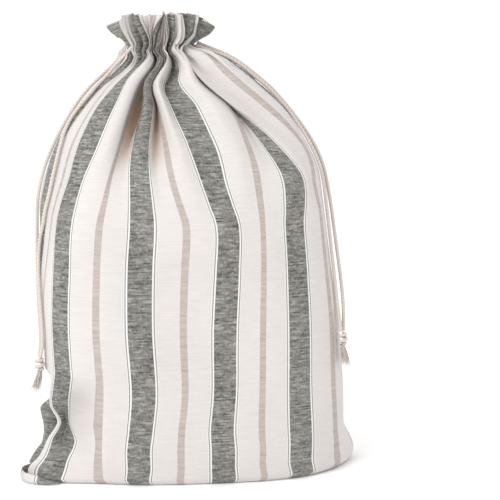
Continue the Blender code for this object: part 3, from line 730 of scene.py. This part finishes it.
def folded_cloth(stations, warps):
    """Points of the bag's outer face, and how far proud of its outline each lies, with the corner's and
    the crimp's hollows weighted in for the painted shade.
    """
    warp = np.broadcast_to(warps, (len(stations), len(warps)))
    fields = smooth_curve(SECTIONS, stations)
    height = fields[:, :1] + np.zeros_like(warp)
    rise, shift, crimp = folded(warp, height)
    added, proud = guided(stations, fields[:, 0], warps)
    shares = way_round(fields[:, 6:], warp + shift) + added
    rise = rise + proud
    step, last = 0.05, len(SECTIONS) - 1
    across = on_outline(stations, shares + step / WARPS) - on_outline(stations, shares - step / WARPS)
    up = (on_outline(np.minimum(stations + step, last), shares)
          - on_outline(np.maximum(stations - step, 0), shares))
    normal = np.cross(across, up)
    normal /= np.linalg.norm(normal, axis=2)[..., None]
    points = on_outline(stations, shares) + normal * rise[..., None]
    points, moved_out = crumpled(points, normal, warps)
    # The painted shade counts the crumpled corner's and the crimp's hollows too.
    rise = rise + moved_out * CORNER_SHADE + crimp * CRIMP_SHADE
    for ear in EARS:
        reach = smooth_bump(warp_distance(warp, ear.warp), ear.width)
        reach = reach * smooth_between(height, ear.low, ear.high, 1, 0)
        points[..., 0] += ear.reach_x * reach
        points[..., 1] += ear.reach_y * reach
    rim = smooth_between(height, NECK_HEIGHT, RIM_HEIGHT, 0, 1)
    for droop in DROOPS:
        away = np.minimum(1, np.abs(warp_distance(warp, droop.warp)) / (droop.width / 2))
        points[..., 2] -= droop.drop * rim * (1 - away) ** 1.3
    return points, rise


heights = np.array([section.height for section in SECTIONS])
stations = []
for row, (low, high) in enumerate(zip(heights, heights[1:])):
    steps = max(2, math.ceil((high - low) / (ROW_STEP if low < NECK_ROWS_FROM else NECK_ROW_STEP)))
    stations += [row + k / steps for k in range(steps)]
stations = np.array(stations + [len(SECTIONS) - 1.0])
warps = np.concatenate((
    np.arange(0, BACK_WARPS[0], 1 / FRONT_COLUMNS), np.arange(*BACK_WARPS, 1 / BACK_COLUMNS),
    np.arange(BACK_WARPS[1], WARPS, 1 / FRONT_COLUMNS)))
COLUMNS = len(warps)
wall, hollow = folded_cloth(stations, warps)
run_up = np.concatenate(([0], np.cumsum(np.linalg.norm(np.diff(wall, axis=0), axis=2).mean(axis=1))))

# The base: the cloth goes in flat from the bag's lower edge to the seam along its middle.
seat_edge = wall[0]
left_end, right_end = seat_edge[np.argmin(seat_edge[:, 0])], seat_edge[np.argmax(seat_edge[:, 0])]
along_seam = (seat_edge[:, :1] - left_end[0]) / (right_end[0] - left_end[0])
seam = left_end + (right_end - left_end) * (SEAM_INSET + (1 - 2 * SEAM_INSET) * along_seam)
seat_shares = np.arange(SEAT_ROWS, 0, -1) / SEAT_ROWS * SEAT_REACH
seat = np.stack([seat_edge + (seam - seat_edge) * share for share in seat_shares])
seat[..., 2] = CLOTH
rows = np.concatenate((seat, wall)) + BAG_SEAT
run_up = np.concatenate((-seat_shares * SEAT_CLOTH, run_up))
hollow = np.concatenate((np.zeros((SEAT_ROWS, COLUMNS)), hollow))

faces = [(i * COLUMNS + a, i * COLUMNS + (a + 1) % COLUMNS,
          (i + 1) * COLUMNS + (a + 1) % COLUMNS, (i + 1) * COLUMNS + a)
         for i in range(len(rows) - 1) for a in range(COLUMNS)]
bag_mesh = bpy.data.meshes.new("striped_bag")
bag_mesh.from_pydata(rows.reshape(-1, 3).tolist(), [], faces + [tuple(reversed(range(COLUMNS)))])

# The cloth's own coordinates: warps round the bag, and metres up the cloth from the lower edge.
# In the last column the warps run on to WARPS, where the first column starts again.
threads = bag_mesh.uv_layers.new(name="UVMap")
corner_verts = np.empty(len(bag_mesh.loops), np.int32)
bag_mesh.loops.foreach_get("vertex_index", corner_verts)
corner_faces = np.repeat(np.arange(len(faces)), 4)
corner_u = warps[corner_verts % COLUMNS]
last_column = corner_faces % COLUMNS == COLUMNS - 1
walls_u = corner_u[:len(corner_faces)]
walls_u[last_column & (walls_u == 0)] = WARPS
corner_uv = np.column_stack((corner_u, run_up[corner_verts // COLUMNS]))
threads.data.foreach_set("uv", corner_uv.ravel())

# How hollow the cloth lies, for the shade painted into its colour: long folds get a warm painted
# shade in their depth, while the pinched casing and the crumpled corner get a plain dark one.
depth = np.clip(-hollow / FOLD_DEPTH, 0, 1)
low_down = smooth_between(rows[..., 2], CORNER_END, GUIDES_END, 1, 0)
painted_dark_shade = np.clip(-hollow / PINCH_DEPTH, 0, 1) * smooth_bump(rows[..., 2] - CASING_HEIGHT, CASING_TALL)
for mark, shares in (("hollow", depth * (1 - low_down)), ("painted_dark_shade", painted_dark_shade + depth * low_down)):
    bag_mesh.attributes.new(mark, "FLOAT", "POINT").data.foreach_set("value", shares.ravel())
bag = placed("striped_bag", bag_mesh)

# At the left corner the bottom seam's tip has rolled up into a little gutter along the floor.
# Each stop of its lip is (x, y, top) in millimetres, and the warp whose colour shows there.
SEAM_ROLL = [
    (-110, -57, 1, 0.25), (-116, -59, 2.5, 0.05), (-123, -60, 5, -0.12), (-129.5, -59, 7.5, -0.30),
    (-135, -57, 8.5, -0.46), (-140.5, -53, 8.5, -0.60), (-144, -47, 9, -1.80),
    (-144.5, -40, 9.5, -2.00), (-141, -34, 9.5, -2.15), (-137, -29, 9, -2.25)]
ROLL_STOPS = 60
ROLL_ROWS = 8
ROLL_BELLY = (-1.0, -1.6)      # how far its wall bulges outwards, in millimetres
ROLL_FOOT = 0.0002             # height of its lower edge
lip = smooth_curve(SEAM_ROLL, np.linspace(0, len(SEAM_ROLL) - 1, ROLL_STOPS))
roll_rows = []
for share in np.linspace(0, 1, ROLL_ROWS):
    belly = np.array(ROLL_BELLY) * math.sin(math.pi * share)
    across = (lip[:, :2] + belly) * MM
    roll_rows.append(np.column_stack((across, ROLL_FOOT + lip[:, 2] * share * MM)))
roll_points = np.array(roll_rows) + BAG_SEAT
roll_faces = [(i * ROLL_STOPS + a + 1, i * ROLL_STOPS + a, (i + 1) * ROLL_STOPS + a,
               (i + 1) * ROLL_STOPS + a + 1)
              for i in range(ROLL_ROWS - 1) for a in range(ROLL_STOPS - 1)]
roll_mesh = bpy.data.meshes.new("rolled_seam_corner")
roll_mesh.from_pydata(roll_points.reshape(-1, 3).tolist(), [], roll_faces)
roll_layer = roll_mesh.uv_layers.new(name="UVMap")
for loop in roll_mesh.loops:
    row, stop = divmod(loop.vertex_index, ROLL_STOPS)
    roll_layer.data[loop.index].uv = (lip[stop, 3] + WARPS, lip[stop, 2] * row / (ROLL_ROWS - 1) * MM)
seam_roll = placed("rolled_seam_corner", roll_mesh)
for cloth in (bag, seam_roll):
    thickness = cloth.modifiers.new("thickness", "SOLIDIFY")
    thickness.thickness = CLOTH
    thickness.offset = -1

# Plain-woven linen with slubby weft threads. Grey stripes of heathered yarn lie between white
# lines, each edged by one dark dotted thread, and a beige stripe runs half-way between them.
CREAM = (0.64, 0.605, 0.59)
WHITE = (0.74, 0.73, 0.72)
GREY_DARK = (0.070, 0.069, 0.060)
GREY_LIGHT = (0.33, 0.325, 0.302)
DOTTED = (0.120, 0.116, 0.110)
BEIGE = (0.385, 0.325, 0.297)
FOLD_SHADE = (0.78, 0.56, 0.36)     # painted shade: what the depth of a long fold does to the cloth's colour
PINCH_SHADE = (0.24, 0.21, 0.18)    # and the painted shade of a tight one
THREADS = 820                  # yarns to a metre, both ways
RIB_SPACING = 0.0011           # of the weave's relief
DOT_SPACING = 0.0016
STRIPE_BLUR = 0.006            # in warps, over which one colour goes into the next
# The stripes' edges, in warps from the middle of the nearest grey one.
GREY_EDGE = 0.282
DOTTED_EDGES = (0.319, 0.347)
WHITE_EDGE = 0.360
BEIGE_EDGE = 0.915

linen = Finish("striped linen")
cloth_place = linen.node("UVMap", {"uv_map": "UVMap"})
warp_number = linen.node("SeparateXYZ", Vector=cloth_place, output=0)
up_cloth = linen.node("SeparateXYZ", Vector=cloth_place, output=1)
across_cloth = warp_number * WARP_WIDTH
from_grey = abs((warp_number + 1.0) % 2.0 - 1.0)  # in warps, from the nearest grey stripe's middle


def yarn_noise(across, up, detail=2.0, seed=0.0):
    """Noise over the flat cloth, drawn out along the yarns by how its two ways are scaled."""
    place = linen.node("CombineXYZ", X=across, Y=up, Z=seed)
    return linen.node("TexNoise", Vector=place, Scale=1.0, Detail=detail)


def past_edge(value, place):
    """Goes from nothing to one as the value passes a place."""
    return ((value - place) / STRIPE_BLUR + 0.5).clipped()


# Every warp yarn (end) and every weft yarn (pick) has its own thick, thin, light and dark places.
end_count = across_cloth * THREADS
pick_count = up_cloth * THREADS
end_number = end_count - end_count % 1.0
pick_number = pick_count - pick_count % 1.0
slubs = yarn_noise(across_cloth * 130, pick_number * 3.7, 3.0)
ends = yarn_noise(end_number * 3.7, up_cloth * 330, 2.0, 7.0)
long_slubs = yarn_noise(across_cloth * 45, pick_number * 0.9, 2.0, 3.0)
clouds = yarn_noise(across_cloth * 22, up_cloth * 14, 2.0, 19.0)
light_dashes = ((slubs - 0.52) * 6.5).clipped()
dark_dashes = ((0.47 - slubs) * 6.5).clipped()
ribs = (pick_count * math.pi).sine()
heather = (0.42 + light_dashes * 0.50 - dark_dashes * 0.32 + (ends - 0.5) * 1.1 + ribs * 0.05
           + (long_slubs - 0.5) * 1.3 + (clouds - 0.5) * 0.5).clipped()
grey = linen.blend(heather, GREY_DARK, GREY_LIGHT)
cream_shift = ((slubs - 0.5) * 1.0 + (long_slubs - 0.5) * 1.6 + (clouds - 0.5) * 1.2 + 0.6).clipped()
cream = linen.blend(cream_shift, tuple(c * 0.90 for c in CREAM), CREAM)
beige_lines = ((yarn_noise(across_cloth * 60, pick_number * 2.3, 2.0, 5.0) - 0.5) * 2.2 + 0.4).clipped()
beige = linen.blend(beige_lines, BEIGE, tuple((b + c) / 2 for b, c in zip(CREAM, BEIGE)))
dots = (up_cloth * (2 * math.pi / DOT_SPACING)).sine() > -0.2
colour = linen.blend(past_edge(from_grey, BEIGE_EDGE), cream, beige)
colour = linen.blend(1 - past_edge(from_grey, WHITE_EDGE), colour, WHITE)
dotted = past_edge(from_grey, DOTTED_EDGES[0]) * (1 - past_edge(from_grey, DOTTED_EDGES[1]))
dotted = dotted * (dots * 0.4 + 0.55)
colour = linen.blend(dotted, colour, DOTTED)
colour = linen.blend(1 - past_edge(from_grey, GREY_EDGE), colour, grey)
# Shade painted into the colour: warm in the depth of long folds, plain dark in the pinched casing and the
# crumpled corner.
warm_shade_share = linen.node("Attribute", {"attribute_name": "hollow"}, output=2)
colour = linen.shaded((warm_shade_share * warm_shade_share * 1.5).clipped() * 0.85, colour, FOLD_SHADE)
dark_shade_share = linen.node("Attribute", {"attribute_name": "painted_dark_shade"}, output=2)
colour = linen.shaded(dark_shade_share * 0.9, colour, PINCH_SHADE)
rib_turns = 2 * math.pi / RIB_SPACING
weave = (across_cloth * rib_turns).sine() * (up_cloth * rib_turns).sine()
relief = weave * 0.35 + slubs * 0.9 + ends * 0.4
linen.surface(
    Base_Color=colour,
    Roughness=0.93,
    Sheen_Weight=0.12,
    Normal=linen.node("Bump", Height=relief, Strength=0.55, Distance=0.0004))
for cloth in (bag, seam_roll):
    cloth.data.materials.append(linen.material)
    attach(cloth, "root")
    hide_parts("bag")


# ================================================================ Floor and light
# A pale tabletop under a bright, even studio sky, with one large soft lamp before the bag.
FLOOR_WIDTH = 12
FLOOR_GAP = 0.0004             # under the bag, so that cloth and floor never share a plane
bpy.ops.mesh.primitive_plane_add(size=FLOOR_WIDTH, location=(0, 0, -FLOOR_GAP))
floor = bpy.context.object
floor.name = "floor"
pale = Finish("pale floor")
floor_noise = pale.node("TexNoise", Vector=pale.node("TexCoord", output=3), Scale=3.0)
pale.surface(Base_Color=pale.blend(floor_noise, (0.97, 0.97, 0.97), (0.98, 0.98, 0.98)), Roughness=0.9)
floor.data.materials.append(pale.material)

sky = bpy.data.worlds.new("studio")
sky.use_nodes = True
sky.node_tree.nodes["Background"].inputs["Color"].default_value = (1.0, 0.995, 0.99, 1)
sky.node_tree.nodes["Background"].inputs["Strength"].default_value = 1.12
bpy.context.scene.world = sky

key_lamp = bpy.data.objects.new("key lamp", bpy.data.lights.new("key lamp", "AREA"))
key_lamp.data.size = 1.2
key_lamp.data.energy = 22.0
key_lamp.location = (-1.2, -1.4, 1.4)
bag_middle = Vector((0, 0, 0.2))
towards_bag = bag_middle - key_lamp.location
key_lamp.rotation_euler = towards_bag.to_track_quat("-Z", "Y").to_euler()
bpy.context.scene.collection.objects.link(key_lamp)
